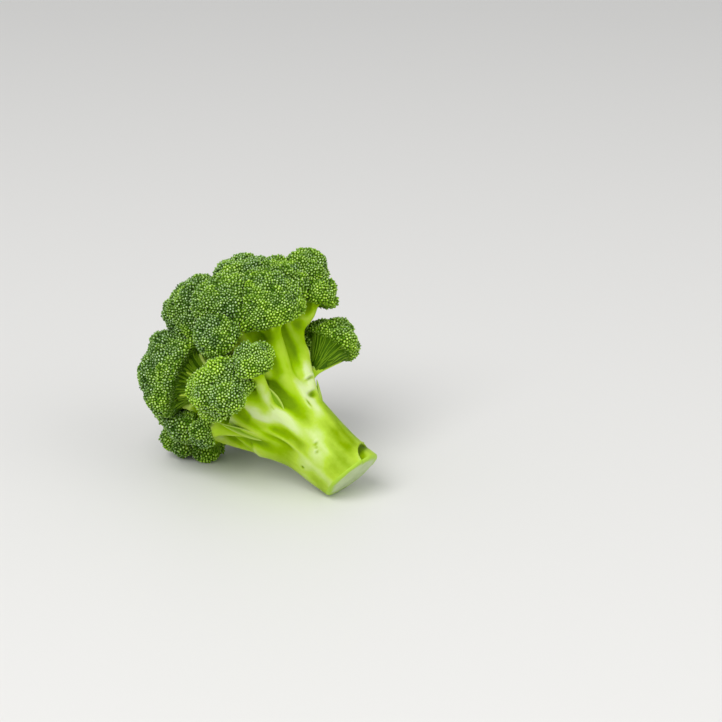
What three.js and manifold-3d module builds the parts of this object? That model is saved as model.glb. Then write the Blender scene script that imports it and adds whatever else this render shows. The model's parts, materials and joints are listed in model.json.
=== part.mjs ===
// A head of broccoli, as cut and laid down on its side.
// Millimetres, +Z up, resting on z = 0. +X runs, in plan, from the crown to the stalk's cut end.
// The stalk with its branches is one pale solid. Each floret is a solid of its own: a bunch of
// buds that sits on the end of its branch, a hair clear of it and of the florets around it.

import * as THREE from 'three';
import Module from 'manifold-3d';
import { ConvexHull } from 'three/addons/math/ConvexHull.js';
import { LoftGeometry } from 'three/addons/geometries/LoftGeometry.js';
import { mergeVertices } from 'three/addons/utils/BufferGeometryUtils.js';

const wasm = await Module();
wasm.setup();

// ---------------------------------------------------------------- driving sizes

const STALK_TILT = 29.5;          // degrees that the stalk rises from its cut end to the crown
const CUT_SLANT = 10.5;           // degrees that the cut leans back under the stalk
const STALK_RADIUS = 18.5;        // of the trunk, near the cut end
const CUT_END_HEIGHT = 13.8;      // of the middle of the cut face above the ground
const FORK_HEIGHT = 52;           // along the stalk, where the trunk breaks up into branches
const GAP = 0.32;                 // between a floret and whatever is next to it
const BUD_PITCH = 7.8;            // between neighbouring buds, larger than life
const BUD_RELIEF = 0.85;          // how far a bud's tip stands over the floret's surface
const UNDERSIDE_SHARE = 4;        // on a floret's underside, one corner for this many buds
const GOLDEN_ANGLE = Math.PI * (3 - Math.sqrt(5));
const WELD = 1e-4;                // corners nearer than this are one corner
const NEARLY_PARALLEL = 0.3;      // the sine of the angle between two directions

// The trunk: where its middle runs, as [along, out on the upper side], its slight waist, its
// low ribs, and how it gives out past the forks, as shares of its radius and length.
const TRUNK_LINE = [[-8, 0], [20, 0], [45, 0], [70, 2], [90, 2]];
const TRUNK = { sides: 22, rings: 7, waist: 0.04, ribs: 5, ribHeight: 0.03, ribTurn: 1.1 };
const TRUNK_GIVES_OUT = { from: 0.55, share: 0.62 };

// A main branch: where it shows as a rib on the trunk, how deep it starts, and how far it
// stands out of the trunk below the forks.
const MAIN = { sides: 7, rings: 5, start: -6, low: 24, high: 44, sunk: 3, standsOut: 2.6, taper: 0.1 };
const FORK_INSET = { along: 4, out: 2 };
const SECOND_BRANCH_BEND = 1.5;

// A side branch, as shares of its floret's radius: where its foot and its tip are along the
// floret's axis, how it sags between, and its radius with its taper and the flare at its tip.
const SIDE = { sides: 7, rings: 5, foot: -0.75, tip: -0.12, sag: 0.06, bendAt: 0.55 };
const SIDE_RADIUS = { share: 0.36, most: 6.6, root: 1.06, taper: 0.24, flare: 0.2, flareFrom: 0.75 };

// A stem that leaves the trunk by itself starts as a low ridge: how far down the trunk and how
// far out it starts, how far below its place it is still this much lower, and where it gets clear.
const OWN_STEM = { down: 24, startsOut: 11, risesDown: 9, sunk: 2, clearUp: 2, clearOut: 2 };

// A bract: its thickness, and how its width goes from foot to tip, as shares of its full width.
const BRACT = { sides: 8, rings: 4, thickness: 1.6, foot: 0.75, belly: 0.5, taper: 0.6, sag: 1 };

// A floret's shape, as shares of its radius: its domes, the core that they stand out of, the rim
// that its buds reach down to, and the hollow below the rim, round its branch. The outermost
// dome leans nearly as far as lean, and sizes and turns differ from dome to dome and floret.
const DOMES = { fewest: 3, perRadius: 1 / 4, lean: 88, spare: 0.6, out: 0.58, size: 0.47, uneven: 0.06 };
const DOMES_DIFFER = { byDome: 5.3, byFloret: 1.7, turn: 2.1 };
const CORE = 0.86;
const RIM = { width: 0.8, rise: -0.36, fade: 0.14 };
const HOLLOW = { depth: 0.52, startsAt: -0.05, roundsBy: 0.02 };

// The broad dome that most florets make up together, and how far it may draw one out: by this
// share of the floret's radius, on the side of the floret that faces out of the crown.
const CROWN = { along: 94, bearing: 67, out: 7, radius: 62 };
const FILL = { share: 0.16, from: 0.3, to: 0.8 };

// Places on the head are given along the stalk from the cut end (along), round the stalk
// (bearing, degrees, 90 is the upper side) and out from its middle (out).
const radians = THREE.MathUtils.degToRad;
const STALK_AXIS = new THREE.Vector3(-Math.cos(radians(STALK_TILT)), 0, Math.sin(radians(STALK_TILT)));
const STALK_SIDE = new THREE.Vector3(0, 1, 0);
const STALK_TOP = new THREE.Vector3(Math.sin(radians(STALK_TILT)), 0, Math.cos(radians(STALK_TILT)));

function outward(bearing) {
  return new THREE.Vector3()
    .addScaledVector(STALK_SIDE, Math.cos(radians(bearing)))
    .addScaledVector(STALK_TOP, Math.sin(radians(bearing)));
}

function place(along, bearing, out) {
  return new THREE.Vector3(0, 0, CUT_END_HEIGHT)
    .addScaledVector(STALK_AXIS, along)
    .addScaledVector(outward(bearing), out);
}

// ---------------------------------------------------------------- layout

// Main branches: where each one ends in a fork, its radius, and the bearing of its rib on the
// trunk where that is another one. One of them forks again.
const forks = {
  right: { along: 76, bearing: 64, out: 30, radius: 6.3, rib: 86 },
  upper: { along: 68, bearing: 112, out: 23, radius: 7.6, rib: 98 },
  front: { along: 66, bearing: 172, out: 22, radius: 7.5, rib: 155 },
  lower: { along: 60, bearing: 252, out: 28.5, radius: 9 },
  under: { along: 64, bearing: 308, out: 23, radius: 7.2 },
  back: { along: 68, bearing: 2, out: 20, radius: 7.2 },
  middle: { along: 86, bearing: 90, out: 4, radius: 9.5 },
  rightTip: { along: 91, bearing: 62, out: 44, radius: 4.6, from: 'right' },
};

// Webs: flesh that fills the space between two branches that part low down, and a buttress that
// broadens the trunk into its lower branch. Each runs through these places, from the trunk up.
const webs = [
  { line: [[-6, 240, 5.5], [14, 240, 9], [30, 240, 11.3], [45, 243, 15.3], [60, 250, 23]], radius: 12 },
  { line: [[44, 96, 11], [62, 94, 17], [84, 90, 22]], radius: 6 },
  { line: [[38, 131, 10], [56, 130, 14.5], [78, 124, 22]], radius: 7 },
  { line: [[40, 192, 13], [58, 197, 22], [76, 200, 28]], radius: 6 },
];

// Florets: the middle of each one, its radius, and the fork that carries it, or the place where
// its own stem leaves the trunk. A few have buds down to a higher rim, a deeper hollow, a thin or
// thick stem, or face away from a root of their own. Those that stand apart aren't drawn out into
// the crown.
const florets = [
  {
    along: 71, bearing: 36.5, out: 47, radius: 17, leaves: [60, 35, 17],
    rim: 0, hollow: 1.4, stem: 0.2, root: [63, 32, 16], apart: true,
  },
  { along: 93, bearing: 59, out: 60, radius: 14, from: 'rightTip', stem: 0.26 },
  { along: 107, bearing: 57, out: 63, radius: 17, from: 'rightTip' },
  { along: 108, bearing: 72, out: 51, radius: 20, from: 'right' },
  { along: 119, bearing: 80, out: 41, radius: 21, from: 'middle' },
  { along: 96, bearing: 97, out: 47, radius: 23, from: 'upper', rim: -0.12 },
  { along: 111, bearing: 117, out: 46, radius: 19, from: 'middle' },
  { along: 99, bearing: 136, out: 52, radius: 13, from: 'upper' },
  { along: 127.5, bearing: 127, out: 25.5, radius: 21, from: 'middle' },
  {
    along: 111, bearing: 197, out: 32, radius: 27, from: 'front',
    rim: -0.05, hollow: 0.8, root: [81, 184, 23],
  },
  { along: 78, bearing: 160, out: 44, radius: 21, from: 'front', apart: true },
  {
    along: 73, bearing: 134, out: 50, radius: 14, leaves: [57, 150, 22],
    rim: 0, stem: 0.3, root: [58, 146, 31], apart: true,
  },
  { along: 101, bearing: 226, out: 40, radius: 20, from: 'lower' },
  { along: 104, bearing: 256, out: 59, radius: 15, from: 'lower', apart: true },
  { along: 94, bearing: 263, out: 53, radius: 17, from: 'lower', apart: true },
  { along: 128, bearing: 331, out: 10, radius: 24, from: 'middle' },
  { along: 120, bearing: 37, out: 38, radius: 22, from: 'middle' },
  { along: 105, bearing: 355, out: 41, radius: 21, from: 'back' },
  { along: 91, bearing: 340, out: 35, radius: 19, from: 'back' },
  { along: 104, bearing: 22, out: 36, radius: 16, from: 'back' },
  { along: 97, bearing: 322, out: 44, radius: 21, from: 'under' },
  { along: 88, bearing: 300, out: 56, radius: 16, from: 'under', apart: true },
  { along: 112, bearing: 280, out: 38, radius: 21, from: 'lower' },
  { along: 120, bearing: 330, out: 34, radius: 22, from: 'under' },
  { along: 82, bearing: 216, out: 42, radius: 11, leaves: [58, 215, 19], stem: 0.55, apart: true },
];

// Bracts: foot and tip as [along, bearing, out], and the leaf's width.
const bracts = [
  { foot: [50, 150, 20], tip: [67, 138, 36], width: 5 },
  { foot: [50, 205, 22], tip: [75, 199, 37], width: 6 },
  { foot: [44, 46, 15], tip: [58, 50, 25], width: 5 },
];

// ---------------------------------------------------------------- solids from meshes

function solidOf(geometry) {
  const bare = new THREE.BufferGeometry();
  bare.setAttribute('position', geometry.attributes.position);
  bare.setIndex(geometry.index);
  const merged = mergeVertices(bare, WELD);
  return new wasm.Manifold(new wasm.Mesh({
    numProp: 3,
    vertProperties: new Float32Array(merged.attributes.position.array),
    triVerts: new Uint32Array(merged.index.array),
  }));
}

function geometryOf(solid) {
  const mesh = solid.getMesh();
  const geometry = new THREE.BufferGeometry();
  geometry.setAttribute('position', new THREE.BufferAttribute(mesh.vertProperties, 3));
  geometry.setIndex(new THREE.BufferAttribute(mesh.triVerts, 1));
  const flat = geometry.toNonIndexed();
  flat.computeVertexNormals();
  return flat;
}

function largestPiece(solid) {
  return solid.decompose().sort((one, other) => other.volume() - one.volume())[0];
}

// ---------------------------------------------------------------- stalk and branches

// A limb is a loft of rings round a curve. radiusAt(t, angle) gives its radius at t from 0 to 1.
function limb(points, radiusAt, sides, rings) {
  const curve = new THREE.CatmullRomCurve3(points, false, 'centripetal');
  const sections = [];
  for (let ring = 0; ring <= rings; ring += 1) {
    const t = ring / rings;
    const middle = curve.getPoint(t);
    const forward = curve.getTangent(t);
    const across = new THREE.Vector3().crossVectors(STALK_SIDE, forward);
    if (across.length() < NEARLY_PARALLEL) across.crossVectors(STALK_TOP, forward);
    across.normalize();
    const over = new THREE.Vector3().crossVectors(forward, across);
    const section = [];
    for (let side = 0; side < sides; side += 1) {
      const angle = (side / sides) * 2 * Math.PI;
      const radius = radiusAt(t, angle);
      section.push(middle.clone()
        .addScaledVector(across, radius * Math.cos(angle))
        .addScaledVector(over, radius * Math.sin(angle)));
    }
    sections.push(section);
  }
  return solidOf(new LoftGeometry(sections, { closed: true, capStart: true, capEnd: true }));
}

// The trunk: near round at the cut end, a little waisted, then swelling and giving out where
// the branches leave it.
function trunk(extra) {
  const points = TRUNK_LINE.map(([along, out]) => place(along, 90, out));
  const radiusAt = (t, angle) => {
    const waist = TRUNK.waist * Math.sin(Math.PI * Math.min(1, t * 2));
    const givenOut = TRUNK_GIVES_OUT.share * Math.max(0, t - TRUNK_GIVES_OUT.from);
    const ribs = TRUNK.ribHeight * Math.cos(TRUNK.ribs * angle + TRUNK.ribTurn);
    return STALK_RADIUS * (1 - waist - givenOut + ribs) + extra;
  };
  return limb(points, radiusAt, TRUNK.sides, TRUNK.rings);
}

// A main branch starts as a rib low on the trunk and bends out of it to its fork.
function mainBranch(fork, extra) {
  const { along, bearing, out, radius, rib = bearing } = fork;
  const points = [
    place(MAIN.start, rib, STALK_RADIUS - radius - MAIN.sunk),
    place(MAIN.low, rib, STALK_RADIUS - radius),
    place(MAIN.high, rib, STALK_RADIUS - radius + MAIN.standsOut),
    place(along, bearing, out),
  ];
  const radiusAt = (t) => radius * (1 - MAIN.taper * (1 - t)) + extra;
  return limb(points, radiusAt, MAIN.sides, MAIN.rings);
}

// Where smaller branches leave a fork: a little inside its end.
function forkPoint(name) {
  const fork = forks[name];
  return place(fork.along - FORK_INSET.along, fork.bearing, fork.out - FORK_INSET.out);
}

// A second branch leaves the end of a main branch and forks again.
function secondBranch(fork, extra) {
  const start = forkPoint(fork.from);
  const end = place(fork.along, fork.bearing, fork.out);
  const middle = start.clone().lerp(end, 0.5).addScaledVector(STALK_SIDE, -SECOND_BRANCH_BEND);
  return limb([start, middle, end], () => fork.radius + extra, MAIN.sides, MAIN.rings - 1);
}

// A web of flesh between two branches.
function web({ line, radius }, extra) {
  const points = line.map((spot) => place(...spot));
  return limb(points, () => radius + extra, MAIN.sides, MAIN.rings - 1);
}

// Where a side branch starts, and how it gets to its foot.
function beforeFoot(floret, axis, foot) {
  if (floret.leaves) {
    const [along, bearing, out] = floret.leaves;
    return [
      place(along - OWN_STEM.down, bearing, OWN_STEM.startsOut),
      place(along - OWN_STEM.risesDown, bearing, out - OWN_STEM.sunk),
      place(along + OWN_STEM.clearUp, bearing, out + OWN_STEM.clearOut),
    ];
  }
  const start = forkPoint(floret.from);
  const bend = start.clone().lerp(foot, SIDE.bendAt).addScaledVector(axis, -SIDE.sag * floret.radius);
  return [start, bend];
}

// A side branch runs from its fork, or out of the trunk, into the underside of its floret.
function sideBranch(floret, extra) {
  const middle = middleOf(floret);
  const axis = axisOf(floret);
  const foot = middle.clone().addScaledVector(axis, SIDE.foot * floret.radius);
  const tip = middle.clone().addScaledVector(axis, SIDE.tip * floret.radius + extra);
  const thick = Math.min(SIDE_RADIUS.most, (floret.stem ?? SIDE_RADIUS.share) * floret.radius);
  const points = [...beforeFoot(floret, axis, foot), foot, tip];
  const { root, taper, flare, flareFrom } = SIDE_RADIUS;
  const radiusAt = (t) => {
    const flared = flare * Math.max(0, (t - flareFrom) / (1 - flareFrom));
    return thick * (root - taper * t + flared) + extra;
  };
  return limb(points, radiusAt, SIDE.sides, SIDE.rings);
}

// A bract is a narrow leaf, left on below a branch: thick at its foot, thin at its tip.
function bract({ foot, tip, width }, extra) {
  const start = place(...foot);
  const end = place(...tip);
  const middle = start.clone().lerp(end, 0.5).addScaledVector(outward(tip[1]), -BRACT.sag);
  const radiusAt = (t, angle) => {
    const share = BRACT.foot + BRACT.belly * Math.sin(Math.PI * t) - BRACT.taper * t;
    const wide = (width * share) / 2;
    const thin = BRACT.thickness / 2;
    return (wide * thin) / Math.hypot(wide * Math.cos(angle), thin * Math.sin(angle)) + extra;
  };
  return limb([start, middle, end], radiusAt, BRACT.sides, BRACT.rings);
}

function stalkLimbs(extra) {
  return [
    trunk(extra),
    ...Object.values(forks).map((fork) => (fork.from ? secondBranch : mainBranch)(fork, extra)),
    ...webs.map((flesh) => web(flesh, extra)),
    ...florets.map((floret) => sideBranch(floret, extra)),
    ...bracts.map((leaf) => bract(leaf, extra)),
  ];
}

// ---------------------------------------------------------------- florets

function middleOf(floret) {
  return place(floret.along, floret.bearing, floret.out);
}

// A floret faces away from its root: for most, the place where the trunk breaks up.
function axisOf(floret) {
  return middleOf(floret).sub(place(...(floret.root ?? [FORK_HEIGHT, 90, 0]))).normalize();
}

// Every floret is a cluster of domes, one on top and the others in a spiral round it.
function domesOf(floret, index) {
  const axis = axisOf(floret);
  const across = new THREE.Vector3().crossVectors(STALK_SIDE, axis).normalize();
  const over = new THREE.Vector3().crossVectors(axis, across);
  const count = Math.round(DOMES.fewest + floret.radius * DOMES.perRadius);
  const domes = [];
  for (let dome = 0; dome < count; dome += 1) {
    const lean = radians(DOMES.lean) * Math.sqrt(dome / (count - DOMES.spare));
    const turn = dome * GOLDEN_ANGLE + index * DOMES_DIFFER.turn;
    const differs = Math.sin(DOMES_DIFFER.byDome * dome + DOMES_DIFFER.byFloret * index);
    const size = floret.radius * (DOMES.size + DOMES.uneven * differs);
    const direction = axis.clone().multiplyScalar(Math.cos(lean))
      .addScaledVector(across, Math.sin(lean) * Math.cos(turn))
      .addScaledVector(over, Math.sin(lean) * Math.sin(turn));
    domes.push({ centre: direction.multiplyScalar(floret.radius * DOMES.out), size });
  }
  return domes;
}

// How far from its start a ray, in a direction, leaves a sphere; 0 if it misses it.
function farSide(start, direction, middle, radius) {
  const spoke = middle.clone().sub(start);
  const along = spoke.dot(direction);
  const inside = along * along - spoke.lengthSq() + radius * radius;
  return inside > 0 ? along + Math.sqrt(inside) : 0;
}

// How far the floret reaches from its middle in a direction. Above its rim it goes to the
// furthest of its domes, or of the crown's broad dome. Below, it has a cone round its branch.
function reach(floret, domes, axis, direction) {
  const rise = direction.dot(axis);
  let core = CORE * floret.radius;
  if (rise < HOLLOW.startsAt) {
    const sideways = Math.sqrt(1 - rise * rise);
    const rim = RIM.width * floret.radius;
    const depth = (floret.hollow ?? HOLLOW.depth) * floret.radius;
    core = (rim * depth) / (depth * sideways + rim * -rise + HOLLOW.roundsBy * depth);
  }
  const start = new THREE.Vector3();
  let far = Math.max(...domes.map((dome) => farSide(start, direction, dome.centre, dome.size)));
  if (!floret.apart) {
    const crownMiddle = place(CROWN.along, CROWN.bearing, CROWN.out);
    const broad = farSide(middleOf(floret), direction, crownMiddle, CROWN.radius);
    const most = floret.radius * (1 + FILL.share * THREE.MathUtils.smoothstep(rise, FILL.from, FILL.to));
    far = Math.max(far, Math.min(broad, most));
  }
  const rim = floret.rim ?? RIM.rise;
  const above = THREE.MathUtils.smoothstep(rise, rim - RIM.fade, rim);
  return core + Math.max(0, far - core) * above;
}

// Buds stand on a floret down to its rim.
function hasBuds(floret, axis, direction) {
  return direction.dot(axis) > (floret.rim ?? RIM.rise) - RIM.fade / 2;
}

// The most a floret may reach in a direction: half way to each neighbour, and to the ground.
function room(floret, direction) {
  const middle = middleOf(floret);
  let most = Infinity;
  if (direction.z < 0) most = middle.z / -direction.z;
  for (const other of florets) {
    if (other === floret) continue;
    const between = middleOf(other).sub(middle);
    const distance = between.length();
    const share = (distance ** 2 + floret.radius ** 2 - other.radius ** 2) / (2 * distance);
    const facing = direction.dot(between) / distance;
    if (facing > 0) most = Math.min(most, (share - GAP / 2) / facing);
  }
  return most;
}

// Directions spread evenly over a floret, a bud at each, and few of them on its underside.
function budDirections(floret, index) {
  const axis = axisOf(floret);
  const budArea = BUD_PITCH ** 2 * Math.sin(Math.PI / 3);
  const count = Math.round((4 * Math.PI * floret.radius ** 2) / budArea);
  const directions = [];
  for (let bud = 0; bud < count; bud += 1) {
    const height = 1 - (2 * (bud + 0.5)) / count;
    const round = Math.sqrt(1 - height * height);
    const turn = bud * GOLDEN_ANGLE + index;
    const direction = new THREE.Vector3(round * Math.cos(turn), round * Math.sin(turn), height);
    const wanted = hasBuds(floret, axis, direction) || bud % UNDERSIDE_SHARE === 0;
    if (wanted) directions.push(direction);
  }
  return directions;
}

// The floret's skin: each bud is a small pyramid over the cell round it, and the valleys
// between buds run through the middles of the triangles that join them.
function budSkin(floret, index) {
  const middle = middleOf(floret);
  const axis = axisOf(floret);
  const domes = domesOf(floret, index);
  const directions = budDirections(floret, index);
  const positions = [];
  const cornerAt = (direction, lift) => {
    const relief = hasBuds(floret, axis, direction) ? lift : 0;
    const far = Math.min(reach(floret, domes, axis, direction) + relief, room(floret, direction));
    return middle.clone().addScaledVector(direction, far);
  };
  const hull = new ConvexHull().setFromPoints(directions);
  const valleys = new Map();
  for (const face of hull.faces) {
    const corners = [face.edge.head().point, face.edge.next.head().point, face.edge.prev.head().point];
    const centre = corners[0].clone().add(corners[1]).add(corners[2]).normalize();
    valleys.set(face, cornerAt(centre, -BUD_RELIEF));
  }
  for (const face of hull.faces) {
    let edge = face.edge;
    do {
      const bud = cornerAt(edge.tail().point, BUD_RELIEF);
      const triangle = [bud, valleys.get(edge.twin.face), valleys.get(face)];
      for (const corner of triangle) positions.push(corner.x, corner.y, corner.z);
      edge = edge.next;
    } while (edge !== face.edge);
  }
  const geometry = new THREE.BufferGeometry();
  geometry.setAttribute('position', new THREE.Float32BufferAttribute(positions, 3));
  return geometry;
}

// ---------------------------------------------------------------- the head

const stalkColour = new THREE.MeshStandardMaterial({ color: 0xb7cf5a, roughness: 0.5, metalness: 0 });
const budColour = new THREE.MeshStandardMaterial({ color: 0x55793f, roughness: 0.75, metalness: 0 });

// The stalk is cut a little askew at its end, and flattened where it touches the ground.
function buildStalk(extra) {
  const joined = wasm.Manifold.union(stalkLimbs(extra));
  const lean = radians(STALK_TILT + CUT_SLANT);
  const inward = new THREE.Vector3(-Math.cos(lean), 0, Math.sin(lean));
  return joined
    .trimByPlane(inward.toArray(), place(-extra, 90, 0).dot(inward))
    .trimByPlane([0, 0, 1], 0);
}

const stalk = buildStalk(0);
const stalkRoom = buildStalk(GAP);

function namedMesh(name, solid, material) {
  const mesh = new THREE.Mesh(geometryOf(solid), material);
  mesh.name = name;
  return mesh;
}

const head = new THREE.Group();
head.add(namedMesh('stalk', stalk, stalkColour));
florets.forEach((floret, index) => {
  const bunch = largestPiece(solidOf(budSkin(floret, index)).subtract(stalkRoom));
  const name = `floret_${String(index + 1).padStart(2, '0')}`;
  head.add(namedMesh(name, bunch, budColour));
});

// The origin is under the middle of the whole head, on the ground.
const box = new THREE.Box3().setFromObject(head);
head.position.set(-(box.min.x + box.max.x) / 2, -(box.min.y + box.max.y) / 2, 0);

export default head;
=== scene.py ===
import json
import math

import bmesh
import bpy
import numpy as np
from mathutils import Matrix, Vector, noise

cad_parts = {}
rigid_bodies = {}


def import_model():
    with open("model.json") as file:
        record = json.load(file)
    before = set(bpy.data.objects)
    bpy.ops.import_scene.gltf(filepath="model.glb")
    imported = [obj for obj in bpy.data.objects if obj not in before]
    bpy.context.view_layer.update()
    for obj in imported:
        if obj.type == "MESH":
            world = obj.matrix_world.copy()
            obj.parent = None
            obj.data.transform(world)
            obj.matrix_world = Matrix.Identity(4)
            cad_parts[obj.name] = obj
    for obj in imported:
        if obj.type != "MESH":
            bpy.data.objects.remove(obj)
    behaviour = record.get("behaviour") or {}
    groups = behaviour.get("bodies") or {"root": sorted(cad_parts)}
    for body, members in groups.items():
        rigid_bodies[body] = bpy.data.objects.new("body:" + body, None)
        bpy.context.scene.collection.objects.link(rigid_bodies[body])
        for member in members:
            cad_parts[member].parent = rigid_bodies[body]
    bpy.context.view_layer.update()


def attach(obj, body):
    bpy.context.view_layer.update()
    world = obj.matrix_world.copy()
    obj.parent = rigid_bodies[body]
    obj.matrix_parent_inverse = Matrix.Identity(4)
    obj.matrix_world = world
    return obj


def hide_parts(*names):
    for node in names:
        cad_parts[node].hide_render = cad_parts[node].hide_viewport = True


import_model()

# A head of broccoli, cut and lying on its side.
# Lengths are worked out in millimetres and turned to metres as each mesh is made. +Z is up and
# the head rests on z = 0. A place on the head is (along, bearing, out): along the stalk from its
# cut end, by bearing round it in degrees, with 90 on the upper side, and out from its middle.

# ---------------- stalk and branches
# The stalk is one thick juicy stem, cut a little askew with a knife at its foot. Seven main
# branches start as ribs on it, bend out and fork, and every fork ends under a floret.

METRES = 0.001
CUT_END = np.array([64.4, -0.2, 13.8])  # the middle of the cut face
STALK_TILT = math.radians(29.5)  # how far the stalk rises towards the crown
CUT_SLANT = math.radians(10.5)  # how far the cut leans back under the stalk
STALK_RADIUS = 18.5
FORK_HEIGHT = 52  # where the trunk breaks up into branches
FILLET = 1.8  # the hollow where two branches part is this round
SKIN_STEP = 0.98  # between points of the skin's mesh

STALK_AXIS = np.array([-math.cos(STALK_TILT), 0, math.sin(STALK_TILT)])
STALK_SIDE = np.array([0.0, 1.0, 0.0])
STALK_TOP = np.array([math.sin(STALK_TILT), 0, math.cos(STALK_TILT)])


def outward(bearing):
    """The direction out of the stalk's middle line at a bearing."""
    turn = math.radians(bearing)
    return math.cos(turn) * STALK_SIDE + math.sin(turn) * STALK_TOP


def place(along, bearing, out):
    """The point at a place on the head."""
    return CUT_END + along * STALK_AXIS + out * outward(bearing)


def unit(vectors):
    """The same directions, each with a length of one."""
    return vectors / np.linalg.norm(vectors, axis=-1, keepdims=True)


# Main branches: where each one ends in a fork, its radius, and the bearing of its rib on the
# trunk where that is another one. One of them forks again.
forks = {
    "right": dict(at=(76, 64, 30), radius=6.3, rib=86),
    "upper": dict(at=(68, 112, 23), radius=7.6, rib=98),
    "front": dict(at=(66, 172, 22), radius=7.5, rib=155),
    "lower": dict(at=(60, 252, 28.5), radius=9.0),
    "under": dict(at=(64, 308, 23), radius=7.2),
    "back": dict(at=(68, 2, 20), radius=7.2),
    "middle": dict(at=(86, 90, 4), radius=9.5),
    "right tip": dict(at=(91, 62, 44), radius=4.6, parent="right"),
}

# Webs: a buttress that broadens the trunk into its lower branch, and the flesh between branches
# that part low down, each from the trunk up.
webs = [dict(line=[(-6, 240, 5.5), (14, 240, 9), (30, 240, 11.3), (45, 243, 15.3), (60, 250, 23)],
             radius=12.0),
        dict(line=[(44, 96, 11), (62, 94, 17), (84, 90, 22)], radius=6.0),
        dict(line=[(38, 131, 10), (56, 130, 14.5), (78, 124, 22)], radius=7.0),
        dict(line=[(40, 192, 13), (58, 197, 22), (76, 200, 28)], radius=6.0)]

# Florets: the middle of each one, its radius, the branch that carries it, or the place where its
# own stem leaves the trunk, and how ripe its buds are, from 0, young and yellow-green, to 1, full
# and blue-green. Most have buds down to well below their middle (the rim), a shallow hollow under
# them, and a stem of about a third of their radius. They point away from their root. On some the
# bloom of wax is thicker. Those that stand apart don't grow into the broad crown.
usual = dict(rim=-0.36, hollow=0.52, stem=0.36, stem_width=1, bloom=0, apart=False,
             root=(FORK_HEIGHT, 90, 0))
florets = [
    dict(at=(71, 36.5, 47), radius=17, branch=(60, 35, 17), ripe=0.25, rim=0.0, hollow=1.4,
         stem=0.2, root=(63, 32, 16), ribs=1, first_rib=0.45, stem_width=0.5, apart=True),
    dict(at=(93, 59, 60), radius=14, branch="right tip", ripe=0.05, stem=0.26),
    dict(at=(107, 57, 63), radius=17, branch="right tip", ripe=0.45, bloom=0.07),
    dict(at=(108, 72, 51), radius=20, branch="right", ripe=0.40),
    dict(at=(119, 80, 41), radius=21, branch="middle", ripe=0.60, bloom=0.14),
    dict(at=(96, 97, 47), radius=23, branch="upper", ripe=0.45, rim=-0.12),
    dict(at=(111, 117, 46), radius=19, branch="middle", ripe=0.60),
    dict(at=(99, 136, 52), radius=13, branch="upper", ripe=0.60),
    dict(at=(127.5, 127, 25.5), radius=21, branch="middle", ripe=0.85),
    dict(at=(111, 197, 32), radius=27, branch="front", ripe=0.85, rim=-0.05, hollow=0.8,
         root=(81, 184, 23)),
    dict(at=(78, 160, 44), radius=21, branch="front", ripe=0.25, bloom=0.18, apart=True),
    dict(at=(73, 134, 50), radius=14, branch=(57, 150, 22), ripe=0.45, rim=0.0, stem=0.3,
         root=(58, 146, 31), bloom=0.18, apart=True),
    dict(at=(101, 226, 40), radius=20, branch="lower", ripe=0.65),
    dict(at=(104, 256, 59), radius=15, branch="lower", ripe=0.45, apart=True),
    dict(at=(94, 263, 53), radius=17, branch="lower", ripe=0.40, apart=True),
    dict(at=(128, 331, 10), radius=24, branch="middle", ripe=0.80),
    dict(at=(120, 37, 38), radius=22, branch="middle", ripe=0.60),
    dict(at=(105, 355, 41), radius=21, branch="back", ripe=0.60),
    dict(at=(91, 340, 35), radius=19, branch="back", ripe=0.45),
    dict(at=(104, 22, 36), radius=16, branch="back", ripe=0.40),
    dict(at=(97, 322, 44), radius=21, branch="under", ripe=0.55),
    dict(at=(88, 300, 56), radius=16, branch="under", ripe=0.40, apart=True),
    dict(at=(112, 280, 38), radius=21, branch="lower", ripe=0.65),
    dict(at=(120, 330, 34), radius=22, branch="under", ripe=0.75),
    dict(at=(82, 216, 42), radius=11, branch=(58, 215, 19), ripe=0.50, stem=0.55, apart=True),
]
florets = [usual | floret for floret in florets]
for floret in florets:
    floret["middle"] = place(*floret["at"])
    floret["axis"] = unit(floret["middle"] - place(*floret["root"]))
    floret["across"] = unit(np.cross(STALK_SIDE, floret["axis"]))
    floret["over"] = np.cross(floret["axis"], floret["across"])


def smooth_curve(points, steps):
    """Points and directions along a centripetal Catmull-Rom curve through the given points."""
    points = np.array(points, float)
    ends = [2 * points[0] - points[1], 2 * points[-1] - points[-2]]
    padded = np.vstack([ends[0], points, ends[1]])
    gaps = np.sqrt(np.linalg.norm(np.diff(padded, axis=0), axis=1))
    places, directions = [], []
    for step in range(steps + 1):
        t = step / steps * (len(points) - 1)
        part = min(int(t), len(points) - 2)
        t -= part
        p0, p1, p2, p3 = padded[part:part + 4]
        g0, g1, g2 = gaps[part:part + 3]
        leave = g1 * ((p1 - p0) / g0 - (p2 - p0) / (g0 + g1) + (p2 - p1) / g1)
        arrive = g1 * ((p2 - p1) / g1 - (p3 - p1) / (g1 + g2) + (p3 - p2) / g2)
        square = -3 * p1 + 3 * p2 - 2 * leave - arrive
        cube = 2 * p1 - 2 * p2 + leave + arrive
        places.append(p1 + t * leave + t ** 2 * square + t ** 3 * cube)
        directions.append(unit(leave + 2 * t * square + 3 * t ** 2 * cube))
    return np.array(places), np.array(directions)


def ring_axes(directions):
    """Two directions square to each direction along a limb, which turn with it."""
    across = np.cross(STALK_SIDE, directions)
    short = np.linalg.norm(across, axis=1) < 0.3
    across[short] = np.cross(STALK_TOP, directions[short])
    across = unit(across)
    return across, np.cross(directions, across)


def limb(points, radius_at, steps):
    """A limb's middle line, its axes and its radius at each step."""
    places, directions = smooth_curve(points, steps)
    across, over = ring_axes(directions)
    lengths = np.linalg.norm(np.diff(places, axis=0), axis=1)
    return dict(places=places, across=across, over=over, radius_at=radius_at,
                along=np.concatenate([[0], np.cumsum(lengths)]),
                radius=np.array([radius_at(step / steps, 0) for step in range(steps + 1)]))


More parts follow.
